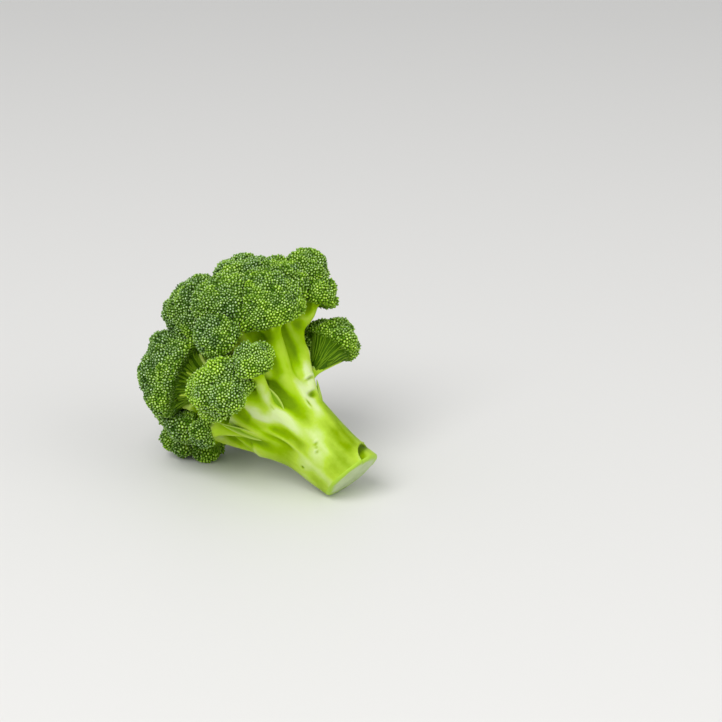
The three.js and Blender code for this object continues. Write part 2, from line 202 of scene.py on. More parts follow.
def limb_mesh(one, sides, extra=0.0):
    """Rings of points round a limb, closed at both ends, as points and faces."""
    steps = len(one["places"])
    points = []
    for step in range(steps):
        for side in range(sides):
            angle = 2 * math.pi * side / sides
            radius = one["radius_at"](step / (steps - 1), angle) + extra
            points.append(one["places"][step] + radius * math.cos(angle) * one["across"][step]
                          + radius * math.sin(angle) * one["over"][step])
    faces = [tuple(reversed(range(sides)))]
    for step in range(steps - 1):
        for side in range(sides):
            low, high = step * sides, (step + 1) * sides
            after = (side + 1) % sides
            faces.append((low + side, low + after, high + after, high + side))
    faces.append(tuple(range((steps - 1) * sides, steps * sides)))
    return points, faces


def trunk_radius(t, angle):
    """Near round at the cut end, a little waisted, and giving out among the branches."""
    waist, taper, taper_from = 0.04, 0.62, 0.55
    swell = 1 - waist * math.sin(math.pi * min(1, t * 2)) - taper * max(0, t - taper_from)
    ridges = 0.03 * math.cos(5 * angle + 1.1)
    return STALK_RADIUS * (swell + ridges)


# A branch's rib on the trunk: how far along it is, and how far it stands out of the trunk.
RIB_LINE = [(-6, -3), (24, 0), (FORK_HEIGHT - 8, 2.6)]


def main_branch(fork):
    """A rib low on the trunk that bends out of it to its fork."""
    ring = STALK_RADIUS - fork["radius"]
    bearing = fork.get("rib", fork["at"][1])
    points = [place(along, bearing, ring + proud) for along, proud in RIB_LINE]
    points.append(place(*fork["at"]))
    thicken = lambda t, angle: fork["radius"] * (0.7 + 0.3 * min(1, 2.2 * t))
    return limb(points, thicken, steps=40)


def fork_point(name):
    """Where the next branches leave a fork: a little before its end, inside the flesh."""
    before, inside = 4, 2
    along, bearing, out = forks[name]["at"]
    return place(along - before, bearing, out - inside)


def second_branch(fork):
    """A branch that leaves the end of a main branch and forks again."""
    bow = 1.5
    start, end = fork_point(fork["parent"]), place(*fork["at"])
    middle = (start + end) / 2 - bow * STALK_SIDE
    taper = lambda t, angle: fork["radius"] * (1.1 - 0.1 * t)
    return limb([start, middle, end], taper, steps=24)


THICKEST_STEM = 6.6
STEM_SPREAD = 0.75  # the last quarter of a stem spreads out
FOOT_DEPTH, TIP_DEPTH = 0.75, 0.12  # below the floret's middle, as parts of its radius


def side_branch(floret):
    """From a fork, or from inside the trunk, into the underside of its floret."""
    size = floret["radius"]
    foot = floret["middle"] - FOOT_DEPTH * size * floret["axis"]
    tip = floret["middle"] - TIP_DEPTH * size * floret["axis"]
    if isinstance(floret["branch"], tuple):
        along, bearing, out = floret["branch"]
        deep = 11
        points = [place(along - 24, bearing, deep), place(along - 9, bearing, out - 2),
                  place(along + 2, bearing, out + 2), foot, tip]
    else:
        start = fork_point(floret["branch"])
        bend = start + 0.55 * (foot - start) - 0.06 * size * floret["axis"]
        points = [start, bend, foot, tip]
    thick = min(THICKEST_STEM, floret["stem"] * size)
    flare = lambda t, angle: thick * (1.06 - 0.24 * t + 0.8 * max(0, t - STEM_SPREAD))
    return limb(points, flare, steps=36)


RIM = 0.8  # the hollow is this part of the radius wide
RIB_THICKNESS = 0.08  # a part of the radius, too


def sideways_at(floret, turn):
    """The direction square to the floret's axis at this turn round it."""
    return math.cos(turn) * floret["across"] + math.sin(turn) * floret["over"]


def rib(floret, turn):
    """A small branch that runs out along the underside of a floret, from its foot to its rim."""
    size, depth, sideways = floret["radius"], floret["hollow"], sideways_at(floret, turn)
    points = []
    for part in (-0.1, 0.2, 0.5, 0.86):
        down = depth * (1 - part)
        points.append(floret["middle"] - down * size * floret["axis"]
                      + RIM * size * max(part, 0) * sideways)
    return limb(points, lambda t, angle: RIB_THICKNESS * size * (1.2 - 0.75 * t), steps=10)


TRUNK_LINE = [(-8, 0), (20, 0), (45, 0), (70, 2), (90, 2)]
limbs = [limb([place(along, 90, out) for along, out in TRUNK_LINE], trunk_radius, steps=60)]
limbs += [second_branch(fork) if "parent" in fork else main_branch(fork)
          for fork in forks.values()]
limbs += [limb([place(*spot) for spot in web["line"]], lambda t, angle, web=web: web["radius"],
               steps=24)
          for web in webs]
limbs += [side_branch(floret) for floret in florets]
for index, floret in enumerate(florets):
    ribs = floret.get("ribs", int(4 + floret["radius"] / 7))
    limbs += [rib(floret, floret.get("first_rib", 1.3 * index) + 2 * math.pi * turn / ribs)
              for turn in range(ribs)]


def new_object(name, points, faces):
    """An object in the frame, from points in millimetres."""
    mesh = bpy.data.meshes.new(name)
    mesh.from_pydata([tuple(p) for p in np.asarray(points) * METRES], [], faces)
    mesh.update()
    made = bpy.data.objects.new(name, mesh)
    bpy.context.scene.collection.objects.link(made)
    return made


def apply_modifiers(piece):
    """Replaces the piece's mesh with what its modifiers make of it."""
    graph = bpy.context.evaluated_depsgraph_get()
    made = bpy.data.meshes.new_from_object(piece.evaluated_get(graph))
    piece.modifiers.clear()
    piece.data = made


def gathered(meshes):
    """The points and faces of many meshes as those of one."""
    points, faces = [], []
    for more_points, more_faces in meshes:
        faces += [tuple(index + len(points) for index in face) for face in more_faces]
        points += more_points
    return points, faces


# The limbs are made a fillet's width too thick, joined into one skin, and drawn in again, which
# leaves a round hollow wherever two of them part.
TRUNK_SIDES, LIMB_SIDES = 32, 14
points, faces = gathered(limb_mesh(one, TRUNK_SIDES if one is limbs[0] else LIMB_SIDES, FILLET)
                         for one in limbs)
stalk = new_object("stalk_and_branches", points, faces)
remesh = stalk.modifiers.new("one skin", "REMESH")
remesh.mode = "VOXEL"
remesh.voxel_size = SKIN_STEP * METRES
apply_modifiers(stalk)


def read(items, name, width, kind=float):
    """One row of numbers for each item of a mesh."""
    flat = np.empty(len(items) * width, kind)
    items.foreach_get(name, flat)
    return flat.reshape(-1, width)


def mesh_points(mesh):
    """A mesh's points in millimetres."""
    return read(mesh.vertices, "co", 3) / METRES


def mesh_normals(mesh):
    """Which way the skin faces at each of a mesh's points."""
    return read(mesh.vertex_normals, "vector", 3)


def set_points(mesh, points):
    """Moves a mesh's points to these places in millimetres."""
    mesh.vertices.foreach_set("co", (points * METRES).ravel())
    mesh.update()


def summed(indices, rows, count):
    """For each index, the sum of the rows that belong to it."""
    return np.stack([np.bincount(indices, row, count) for row in rows.T], axis=1)


def relaxed(values, edges, rounds):
    """Each point's value, moved half way to the mean of its neighbours', several times over."""
    count = len(values)
    both = np.concatenate([edges, edges[:, ::-1]])
    degree = np.bincount(both[:, 0], minlength=count)[:, None]
    for _ in range(rounds):
        total = summed(both[:, 0], values[both[:, 1]], count)
        values = 0.5 * values + 0.5 * total / degree
    return values


def smooth_step(values, low, high):
    """0 below the low value and 1 above the high one, with an even change between."""
    t = np.clip((values - low) / (high - low), 0, 1)
    return t * t * (3 - 2 * t)


# A few rounds take the steps out of the skin, and many more make the trunk smooth.
FIRST_ROUNDS, LATER_ROUNDS, TRUNK_ROUNDS = 6, 8, 110
edges = read(stalk.data.edges, "vertices", 2, int)
set_points(stalk.data, relaxed(mesh_points(stalk.data), edges, FIRST_ROUNDS))
drawn_in = mesh_points(stalk.data) - FILLET * mesh_normals(stalk.data)
skin = relaxed(drawn_in, edges, LATER_ROUNDS)
trunk_share = (1 - smooth_step((skin - CUT_END) @ STALK_AXIS, 30, 66))[:, None]
set_points(stalk.data, skin + trunk_share * (relaxed(skin, edges, TRUNK_ROUNDS) - skin))


def nearest_limb(points):
    """For each point: how far it is along its nearest limb, the angle round it, and which one."""
    middles, across, over, along, radius = (
        np.concatenate([one[word] for one in limbs])
        for word in ("places", "across", "over", "along", "radius"))
    which = np.concatenate([np.full(len(one["places"]), i) for i, one in enumerate(limbs)])
    step = np.empty(len(points), int)
    at_once = 4000
    for start in range(0, len(points), at_once):
        part = points[start:start + at_once]
        square = ((part ** 2).sum(1)[:, None] + (middles ** 2).sum(1)[None]
                  - 2 * part @ middles.T)
        step[start:start + at_once] = np.argmin(np.sqrt(np.maximum(square, 0)) - radius, axis=1)
    spoke = points - middles[step]
    across, over, along = across[step], over[step], along[step]
    angle = np.arctan2((spoke * over).sum(1), (spoke * across).sum(1))
    return along, angle, radius[step], which[step]


def stalk_place(points):
    """How far each point is along the stalk, and its bearing."""
    spoke = points - CUT_END
    up = spoke @ STALK_AXIS
    bearing = np.degrees(np.arctan2(spoke @ STALK_TOP, spoke @ STALK_SIDE)) % 360
    return up, bearing


# Fine ribs run along each limb. The grain is a point's place on its limb, unrolled, and stretched
# so that a pattern on it comes out long and narrow. The grain fades where limbs join.
RIB_HEIGHT = 0.27
RIB_WIDTH = 4.5
RIB_STRETCH = 5.0
SWELL_HEIGHT = 0.6
SWELL_WIDTH = 16.0
TRUNK_TOP = 50  # the trunk counts as one limb up to here
skin, facing = mesh_points(stalk.data), mesh_normals(stalk.data)
along, angle, radius, which = nearest_limb(skin)
up, bearing = stalk_place(skin)
trunk = up < TRUNK_TOP
along[trunk], angle[trunk], which[trunk] = up[trunk], np.radians(bearing[trunk]), 0
radius[trunk] = STALK_RADIUS
grain = np.stack([radius * np.cos(angle), radius * np.sin(angle),
                  along / RIB_STRETCH + 40 * which], axis=1)
joins = np.zeros((len(skin), 1))
joins[edges[which[edges[:, 0]] != which[edges[:, 1]]].ravel()] = 1
joins = np.clip(4 * relaxed(joins, edges, rounds=9), 0, 1)[:, 0]
joins = np.maximum(joins, np.exp(-((up - TRUNK_TOP) / 4) ** 2))
ribs = np.array([noise.noise(Vector(p)) for p in grain / RIB_WIDTH]) * (1 - joins)
swells = np.array([noise.noise(Vector(p)) for p in skin / SWELL_WIDTH])
skin = skin + (RIB_HEIGHT * ribs + SWELL_HEIGHT * swells)[:, None] * facing

# Low knobs, small pits and soft dents mark where leaves stood on the stalk, and ridges run down
# from the branches: (along, bearing, half length, half width, how far the skin stands out, how
# much its colour is a scar's).
marks = [(25.8, 143, 0.8, 1.8, 0.35, 0), (24.6, 146, 0.7, 1.5, -0.35, 0.5),
         (22.9, 151, 0.7, 0.9, -0.3, 0.4), (20.9, 156, 0.8, 1.1, -0.4, 0.5),
         (22.0, 157, 0.8, 1.3, 0.3, 0), (23.6, 205, 0.9, 0.7, -0.7, 1.0),
         (51.6, 86, 1.6, 2.0, 0.8, 0), (48.8, 88, 1.8, 2.5, -1.5, 0.8),
         (58.9, 76, 0.9, 2.6, 1.0, 0), (57.2, 79, 0.9, 2.2, -0.9, 0.7),
         (44.4, 108, 2.6, 0.8, 0.6, 0), (45.4, 104, 2.2, 0.6, -0.6, 0.6),
         (42.0, 170, 11.0, 3.2, -0.7, 0), (44.0, 183, 10.0, 1.1, 1.0, 0),
         (44.0, 189, 10.0, 1.8, -1.0, 0), (35, 300, 1.6, 1.0, -0.7, 0.8),
         (18, 20, 1.4, 0.9, -0.6, 0.8), (30, 345, 2.5, 2.2, 0.9, 0)]


def turned(bearing, other):
    """How many degrees, up to 180 either way, it is from the other bearing."""
    return (bearing - other + 180) % 360 - 180


def round_by(bearing, other):
    """The distance round the stalk between bearings."""
    return np.radians(turned(bearing, other)) * STALK_RADIUS


up, bearing = stalk_place(skin)
scar = np.zeros(len(skin))
low = smooth_step(-up, -62, -58)  # marks end where the branches begin
for there, at_bearing, half_length, half_width, proud, scarred in marks:
    side = round_by(bearing, at_bearing) / half_width
    ahead = (up - there) / half_length
    mark = np.exp(-(side ** 2 + ahead ** 2)) * low
    scar = np.maximum(scar, scarred * mark)
    skin += (proud * mark)[:, None] * facing

# A big leaf was torn off beside the cut: it left a hollow with a thin curved lip above it.
LEAF_HOLLOW = dict(along=-2.0, bearing=56, length=11.5, width=16.0, depth=1.7, lip=0.7)
inside = 1 - ((up - LEAF_HOLLOW["along"]) / LEAF_HOLLOW["length"]) ** 2
inside -= (round_by(bearing, LEAF_HOLLOW["bearing"]) / LEAF_HOLLOW["width"]) ** 2
sector = smooth_step(bearing, 30, 60) * smooth_step(-bearing, -125, -105) * low
hollow = smooth_step(inside, -0.02, 0.12) * smooth_step(-inside, -1.0, -0.15) * sector
lip = np.exp(-((inside + 0.06) / 0.045) ** 2) * sector
skin += (LEAF_HOLLOW["lip"] * lip - LEAF_HOLLOW["depth"] * hollow)[:, None] * facing
# The hollow gets the dark scar colour, partly as the leaf's scar and partly as painted shade in the
# pocket.
scar = np.maximum(scar, smooth_step(hollow, 0.25, 0.8) * smooth_step(up, 1.5, 5))
skin[:, 2] = np.maximum(skin[:, 2], 0.0)
set_points(stalk.data, skin)

# Patches where the skin is paler or deeper green: partly wax that is thick in some places and has
# rubbed off in others, and partly painted highlight, such as the pale band along the upper front of
# the trunk, and painted shade in the hollows between branches: (along, bearing, half length, half
# width in degrees, how much more wax and painted light there is).
wax_and_light_patches = [(60, 84, 8, 10, 2.3), (48, 97, 11, 10, 1.9), (36, 108, 7, 12, 1.0),
               (29, 130, 7, 15, 1.2), (46, 152, 9, 10, 2.0), (58, 167, 9, 12, 2.4),
               (20, 156, 7, 19, 1.3), (8, 186, 10, 17, 0.9), (26, 190, 6, 12, 0.6),
               (36, 165, 8, 7, -0.6), (47, 176, 7, 7, -0.9), (15, 96, 11, 18, -0.8),
               (68, 124, 12, 8, -1.2), (50, 208, 10, 14, -1.2), (57, 129, 13, 8, -1.2),
               (56, 117, 8, 7, -1.3), (78, 69, 8, 7, -1.6), (70, 108, 9, 7, -1.3),
               (59, 195, 7, 8, -1.5), (34, 260, 20, 25, 1.0), (40, 10, 22, 25, 1.3)]
waxy = sum(more * np.exp(-((up - there) / length) ** 2 - (turned(bearing, where) / width) ** 2)
           for there, where, length, width, more in wax_and_light_patches)

# How deep in a groove a point lies, from where the skin goes when it is evened out. The skin's
# material paints shade in the grooves from it.
evened = relaxed(skin, edges, rounds=80)
groove = ((evened - skin) * mesh_normals(stalk.data)).sum(1)


def paint(mesh, **facts):
    """Named values at each point of a mesh, for its material to read."""
    for name, values in facts.items():
        values = np.asarray(values, np.float32)
        kind = "FLOAT" if values.ndim == 1 else "FLOAT_VECTOR"
        layer = mesh.attributes.new(name, kind, "POINT")
        layer.data.foreach_set("value" if kind == "FLOAT" else "vector", values.ravel())


paint(stalk.data, groove=groove, scar=scar, up=up, waxy=np.clip(waxy - 0.7, -1.2, 1),
      grain=grain * METRES, joins=joins)

# The knife's cut is nearly flat. Its edge has dried and rounded a little. It is meshed in rings,
# whose sizes are parts of the cut's.
cut_lean = STALK_TILT + CUT_SLANT
CUT_FACING = np.array([math.cos(cut_lean), 0, -math.sin(cut_lean)])
CUT_ROUNDING = 2.2
CUT_UNEVEN = 0.35  # high, and the swells are CUT_SWELL apart
CUT_SWELL = 5.0
ROUNDED_FROM = 0.86  # the part of the cut's size that is flat
CUT_RINGS = (0.997, 0.985, 0.965, 0.94, 0.90, 0.85, 0.78, 0.70, 0.60, 0.48, 0.34, 0.18)
solid = bmesh.new()
solid.from_mesh(stalk.data)
rim_layer = solid.verts.layers.float.new("rim")
knife = Vector((CUT_END - CUT_ROUNDING * CUT_FACING) * METRES)
cut = bmesh.ops.bisect_plane(solid, geom=solid.verts[:] + solid.edges[:] + solid.faces[:],
                             plane_co=knife, plane_no=Vector(CUT_FACING), clear_outer=True)
outer = [vert for vert in cut["geom_cut"] if isinstance(vert, bmesh.types.BMVert)]
centre = sum((vert.co for vert in outer), Vector()) / len(outer)
cut_side = Vector(np.cross(CUT_FACING, STALK_SIDE))
outer.sort(key=lambda vert: math.atan2((vert.co - centre).dot(cut_side),
                                       (vert.co - centre).dot(Vector(STALK_SIDE))))
ring = outer
for size in CUT_RINGS:
    crown = math.sqrt(1 - max(0, (size - ROUNDED_FROM) / (1 - ROUNDED_FROM)) ** 2)
    inner = []
    for vert in outer:
        spot = centre + size * (vert.co - centre)
        uneven = CUT_UNEVEN * crown * noise.noise(spot / METRES / CUT_SWELL)
        spot += Vector(CUT_FACING) * (CUT_ROUNDING * crown + uneven - CUT_UNEVEN) * METRES
        inner.append(solid.verts.new(spot))
        inner[-1][rim_layer] = 1 - size
    for corners in zip(ring, inner, inner[1:] + inner[:1], ring[1:] + ring[:1]):
        solid.faces.new(corners).material_index = 1
    ring = inner
hub = solid.verts.new(sum((vert.co for vert in ring), Vector()) / len(ring))
hub[rim_layer] = 1
for vert, after in zip(ring, ring[1:] + ring[:1]):
    solid.faces.new((vert, hub, after)).material_index = 1
for vert in solid.verts:
    vert.co.z = max(vert.co.z, 0)
bmesh.ops.recalc_face_normals(solid, faces=solid.faces)
solid.to_mesh(stalk.data)
solid.free()


def shade_smooth(piece):
    """Shades the piece as one curved skin."""
    piece.data.polygons.foreach_set("use_smooth", [True] * len(piece.data.polygons))


shade_smooth(stalk)


def connect(tree, node, inputs):
    """Gives each of these inputs a socket to be linked from, or a value."""
    for name, value in inputs.items():
        if isinstance(value, bpy.types.NodeSocket):
            tree.links.new(value, node.inputs[name])
        else:
            node.inputs[name].default_value = value


def add(tree, kind, inputs=None, **settings):
    """Adds a node with its settings, connects its inputs, and gives back its outputs."""
    node = tree.nodes.new("ShaderNode" + kind)
    for name, value in settings.items():
        setattr(node, name, value)
    connect(tree, node, inputs or {})
    return node.outputs


BLEND = dict(data_type="RGBA")  # the settings of a mix of colours
GENTLE = dict(interpolation_type="SMOOTHSTEP")  # and of a range with soft ends


def colour(code):
    """An sRGB hex colour as the linear numbers that a shader takes."""
    parts = [int(code[i:i + 2], 16) / 255 for i in (1, 3, 5)]
    return tuple(p / 12.92 if p <= 0.04045 else ((p + 0.055) / 1.055) ** 2.4
                 for p in parts) + (1.0,)


def scale_for(size):
    """A pattern's scale, where its swells or cells are about this many millimetres apart."""
    return 1 / (size * METRES)


def new_material(name, *told):
    """A material, its node tree, its shader, and the values that a piece tells it at a point."""
    material = bpy.data.materials.new(name)
    material.use_nodes = True
    tree = material.node_tree
    facts = {word: add(tree, "Attribute", attribute_name=word)["Fac"] for word in told}
    return material, tree, tree.nodes["Principled BSDF"], facts


# Stem skin: smooth and waxy, nearly white-green on the ribs and where the wax is thick, which on
# the ribs is partly painted highlight, and deep yellow-green in the grooves, which is painted
# shade. Juicy flesh under it softens the shadows. The sizes of its patterns are in millimetres. The
# fine one is drawn coarser than the skin's own cells, so that it shows.
STREAKS, PATCHES, MOTTLING, FINE_GRAIN = 4.762, 14.286, 7.692, 1.111
skin_material, tree, shader, told = new_material("waxy stem skin", "groove", "scar", "up", "joins",
                                                 "waxy")
along_grain = add(tree, "Attribute", attribute_name="grain")["Vector"]
streak = add(tree, "TexNoise", {"Vector": along_grain, "Scale": scale_for(STREAKS),
                                "Detail": 3.0, "Roughness": 0.55})
patch = add(tree, "TexNoise", {"Vector": along_grain, "Scale": scale_for(PATCHES), "Detail": 1.0})
where = add(tree, "TexCoord")
mottle = add(tree, "TexNoise", {"Vector": where["Object"], "Scale": scale_for(MOTTLING),
                                "Detail": 3.0, "Roughness": 0.6})

# How green a spot is, from 0 under thick wax to 1.5 where it is bare: deeper in the grooves as
# painted shade, deeper where the wax has rubbed off and where the patches paint shade, paler where
# they paint highlight, and along the grain's streaks, which fade where limbs join.
deep = add(tree, "MapRange", {"Value": told["groove"], "From Min": -0.9, "From Max": 0.8},
           **GENTLE)
patchy, streaky, rubbed = [add(tree, "Math", {0: cloudy["Fac"], 1: share, 2: -share / 2},
                               operation="MULTIPLY_ADD")[0]
                           for cloudy, share in ((patch, 1.0), (streak, 0.3), (mottle, 0.5))]
both = add(tree, "Math", {0: patchy, 1: streaky}, operation="ADD")
fade = add(tree, "Math", {0: told["joins"], 1: -1.0, 2: 1.0}, operation="MULTIPLY_ADD")
bare_and_shaded = add(tree, "MapRange", {"Value": told["waxy"], "From Min": 1.0, "From Max": -1.2,
                              "To Min": -0.45, "To Max": 0.6})
rubbed_bare_and_shaded = add(tree, "Math", {0: rubbed, 1: bare_and_shaded["Result"]}, operation="ADD")
deeper = add(tree, "Math", {0: deep["Result"], 1: rubbed_bare_and_shaded[0]}, operation="ADD")
green = add(tree, "Math", {0: both[0], 1: fade[0], 2: deeper[0]}, operation="MULTIPLY_ADD")

# Thick wax, thin wax, bare skin and the deepest olive, each darker low on the stalk and lighter
# above: partly fresher skin on the branches, and partly painted shade near the cut and painted
# light on the branches that lie in the crown's shade.
high = add(tree, "MapRange", {"Value": told["up"], "From Min": 30.0, "From Max": 58.0}, **GENTLE)
greens = [add(tree, "Mix", {0: high["Result"], 6: colour(low_down), 7: colour(high_up)},
              **BLEND)[2]
          for low_down, high_up in (("#C2D48A", "#D0E19C"), ("#A8C634", "#B6D53A"),
                                    ("#7A9A00", "#9CC604"), ("#668600", "#74980A"))]
skin_colour = greens[0]
for greener, start, end in zip(greens[1:], (0.0, 0.5, 1.0), (0.5, 1.0, 1.5)):
    share = add(tree, "MapRange", {"Value": green[0], "From Min": start, "From Max": end})
    skin_colour = add(tree, "Mix", {0: share["Result"], 6: skin_colour, 7: greener}, **BLEND)[2]
# The scar colour marks the leaf scars and paints shade in the torn leaf's hollow.
scarred = add(tree, "Mix", {0: told["scar"], 6: skin_colour, 7: colour("#4C6604")}, **BLEND)
fine = add(tree, "TexNoise", {"Vector": along_grain, "Scale": scale_for(FINE_GRAIN), "Detail": 2.0})
skin_bump = add(tree, "Bump", {"Height": fine["Fac"], "Strength": 0.25, "Distance": 0.3 * METRES})
sheen = add(tree, "MapRange", {"Value": green[0], "To Min": 0.35, "To Max": 0.02})
connect(tree, shader, {"Base Color": scarred[2], "Specular IOR Level": sheen["Result"],
                       "Normal": skin_bump["Normal"], "Roughness": 0.45, "IOR": 1.42,
                       "Subsurface Weight": 0.18, "Subsurface Radius": (0.6, 1.0, 0.25),
                       "Subsurface Scale": 3 * METRES})

# Cut flesh: wet pith, pale and greyish, inside a thin green rind. Its cells are drawn coarser
# than they are, so that they show. The sizes of its patterns are in millimetres.
PITH_CELLS, CLOUDS = 1.613, 6.25
flesh_material, tree, shader, told = new_material("cut stem flesh", "rim")
where = add(tree, "TexCoord")
cells = add(tree, "TexVoronoi", {"Vector": where["Object"], "Scale": scale_for(PITH_CELLS)})
cloud = add(tree, "TexNoise", {"Vector": where["Object"], "Scale": scale_for(CLOUDS),
                               "Detail": 3.0})
uneven_rind = add(tree, "Math", {0: cloud["Fac"], 1: -0.16, 2: told["rim"]},
                  operation="MULTIPLY_ADD")
rind = add(tree, "MapRange", {"Value": uneven_rind[0], "From Min": -0.02, "From Max": 0.2},
           **GENTLE)
pith = add(tree, "Mix", {0: cloud["Fac"], 6: colour("#A8BC80"), 7: colour("#CBD8B0")}, **BLEND)
flesh = add(tree, "Mix", {0: rind["Result"], 6: colour("#A3C834"), 7: pith[2]}, **BLEND)
flesh_bump = add(tree, "Bump", {"Height": cells["Distance"], "Strength": 0.3,
                                "Distance": 0.4 * METRES})
connect(tree, shader, {"Base Color": flesh[2], "Normal": flesh_bump["Normal"],
                       "Roughness": 0.5, "IOR": 1.38})

stalk.data.materials.append(skin_material)
stalk.data.materials.append(flesh_material)
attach(stalk, "root")
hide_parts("stalk")

# ---------------- florets
# A floret is a crowd of unopened flower buds, each on its own thin stem: a hollow-backed cushion
# of domes, and every dome made of smaller clusters. Neighbours press flat against each other.

BUD_PITCH = 1.65  # between the middles of buds
BUD_HEIGHT = 0.85
UNDERSIDE_PITCH = 3.2  # under a floret its skin is plain and coarser
CLUSTER_PITCH = 6.5
CLUSTER_HEIGHT = 1.3
TOUCHING = 0.3  # the gap between florets that press together
SOFT_EDGE = 0.7  # where they meet, the edge is this round
RIM_WIDTH = 0.14  # how fast the buds begin above the rim
GOLDEN_ANGLE = math.pi * (3 - math.sqrt(5))
CROWN_MIDDLE = place(94, 67, 7)  # the broad dome that the crown's florets make up
CROWN_RADIUS = 62
LOWEST_DOME = math.radians(88)  # from the floret's axis
DOMES_OUT = 0.58  # how far out their middles are, as a part of the floret's radius


def domes_of(floret, index):
    """The middles and radii of a floret's domes: one on top, the others in a spiral round it."""
    count = int(3.5 + floret["radius"] / 4)
    dome = np.arange(count)
    lean = LOWEST_DOME * np.sqrt(dome / (count - 0.6))
    turn = dome * GOLDEN_ANGLE + index * 2.1
    directions = (np.outer(np.cos(lean), floret["axis"])
                  + np.outer(np.sin(lean) * np.cos(turn), floret["across"])
                  + np.outer(np.sin(lean) * np.sin(turn), floret["over"]))
    sizes = floret["radius"] * (0.47 + 0.06 * np.sin(5.3 * dome + 1.7 * index))
    return DOMES_OUT * floret["radius"] * directions, sizes


def reach(floret, directions):
    """How far the floret goes from its middle: to its domes or the crown's broad dome above its
    rim, and to the hollow below."""
    radius = floret["radius"]
    rise = directions @ floret["axis"]
    rim, depth = RIM * radius, floret["hollow"] * radius
    cone = rim * depth / (depth * np.sqrt(1 - np.minimum(rise ** 2, 1))
                          + rim * np.maximum(-rise, 0) + 0.02 * depth)
    core = np.where(rise < -0.05, cone, 0.86 * radius)
    centres, sizes = floret["domes"]
    along = directions @ centres.T
    inside = along ** 2 - (centres ** 2).sum(1) + sizes ** 2
    far = np.where(inside > 0, along + np.sqrt(np.maximum(inside, 0)), 0).max(axis=1)
    if not floret["apart"]:
        spoke = floret["middle"] - CROWN_MIDDLE
        back = directions @ spoke
        broad = -back + np.sqrt(back ** 2 - spoke @ spoke + CROWN_RADIUS ** 2)
        most = radius * (1 + 0.16 * smooth_step(rise, 0.3, 0.8))
        far = np.maximum(far, np.minimum(broad, most))
    budded = smooth_step(rise, floret["rim"] - RIM_WIDTH, floret["rim"])
    return core + np.maximum(far - core, 0) * budded


def room(floret, directions):
    """The most that a floret may reach: half way to each neighbour, and to the table."""
    most = floret["middle"][2] / np.maximum(-directions[:, 2], 1e-3)
    for other in florets:
        if other is floret:
            continue
        between = other["middle"] - floret["middle"]
        distance = np.linalg.norm(between)
        share = (distance ** 2 + floret["radius"] ** 2 - other["radius"] ** 2) / (2 * distance)
        facing = directions @ between / distance
        most = np.minimum(most, (share - TOUCHING / 2) / np.maximum(facing, 1e-3))
    return most


def floret_skin(floret, directions):
    """Points of the smooth skin that the buds stand on."""
    far, most = reach(floret, directions), room(floret, directions)
    near = np.minimum(far, most)
    far = near - SOFT_EDGE * np.log(np.exp((near - far) / SOFT_EDGE)
                                    + np.exp((near - most) / SOFT_EDGE))
    return floret["middle"] + directions * far[:, None]


def hull_triangles(directions):
    """The triangles that join each direction to its nearest neighbours, facing outward."""
    ball = bmesh.new()
    for direction in directions:
        ball.verts.new(direction)
    ball.verts.index_update()
    bmesh.ops.convex_hull(ball, input=ball.verts)
    triangles = np.array([[vert.index for vert in face.verts[:3]] for face in ball.faces])
    ball.free()
    a, b, c = (directions[triangles[:, corner]] for corner in range(3))
    inward = (np.cross(b - a, c - a) * a).sum(1) < 0
    triangles[inward] = triangles[inward][:, ::-1]
    return triangles


PACKING = 0.866  # the area that one of many evenly spaced points has, by its spacing squared
PUSH = 0.22  # how much of its way a point is moved at a time


def spread(floret, spacing_at, draw):
    """Directions whose points on the floret's skin stand the wanted spacing apart."""
    count, rounds = 3000, 24
    height = 1 - (2 * np.arange(count) + 1) / count
    turn = np.arange(count) * GOLDEN_ANGLE
    flat = np.sqrt(1 - height ** 2)
    sphere = np.stack([flat * np.cos(turn), flat * np.sin(turn), height], axis=1)
    triangles = hull_triangles(sphere)
    a, b, c = (floret_skin(floret, sphere)[triangles[:, corner]] for corner in range(3))
    area = np.linalg.norm(np.cross(b - a, c - a), axis=1) / 6
    share = sum(np.bincount(triangles[:, corner], weights=area, minlength=count)
                for corner in range(3)) / (PACKING * spacing_at(sphere) ** 2)
    chosen = np.searchsorted(np.cumsum(share), np.arange(int(share.sum())) + 0.5)
    directions = sphere[np.minimum(chosen, count - 1)] + draw.normal(0, 0.01, (len(chosen), 3))
    directions = unit(directions)
    for step in range(rounds):
        if step % 4 == 0:
            triangles = hull_triangles(directions)
            pairs = np.stack([triangles, np.roll(triangles, -1, axis=1)], axis=2).reshape(-1, 2)
            pairs = np.unique(np.sort(pairs, axis=1), axis=0)
        points = floret_skin(floret, directions)
        spacing = spacing_at(directions)
        wanted = (spacing[pairs[:, 0]] + spacing[pairs[:, 1]]) / 2
        spoke = points[pairs[:, 1]] - points[pairs[:, 0]]
        length = np.linalg.norm(spoke, axis=1) + 1e-6
        wanted *= 1.15 * math.sqrt((length ** 2).sum() / (wanted ** 2).sum())
        push = (PUSH * np.maximum(wanted - length, 0) / length)[:, None] * spoke
        points += summed(pairs[:, 1], push, len(points)) - summed(pairs[:, 0], push, len(points))
        directions = unit(points - floret["middle"])
    return directions[np.unique(hull_triangles(directions))]


def point_noise(points, size, seed):
    """Smooth noise, from about -1 to 1, whose swells are this size."""
    shift = Vector((seed * 7.3, seed * 3.1, seed * 5.7))
    return np.array([noise.noise(Vector(p) / size + shift) for p in points]) * 1.6


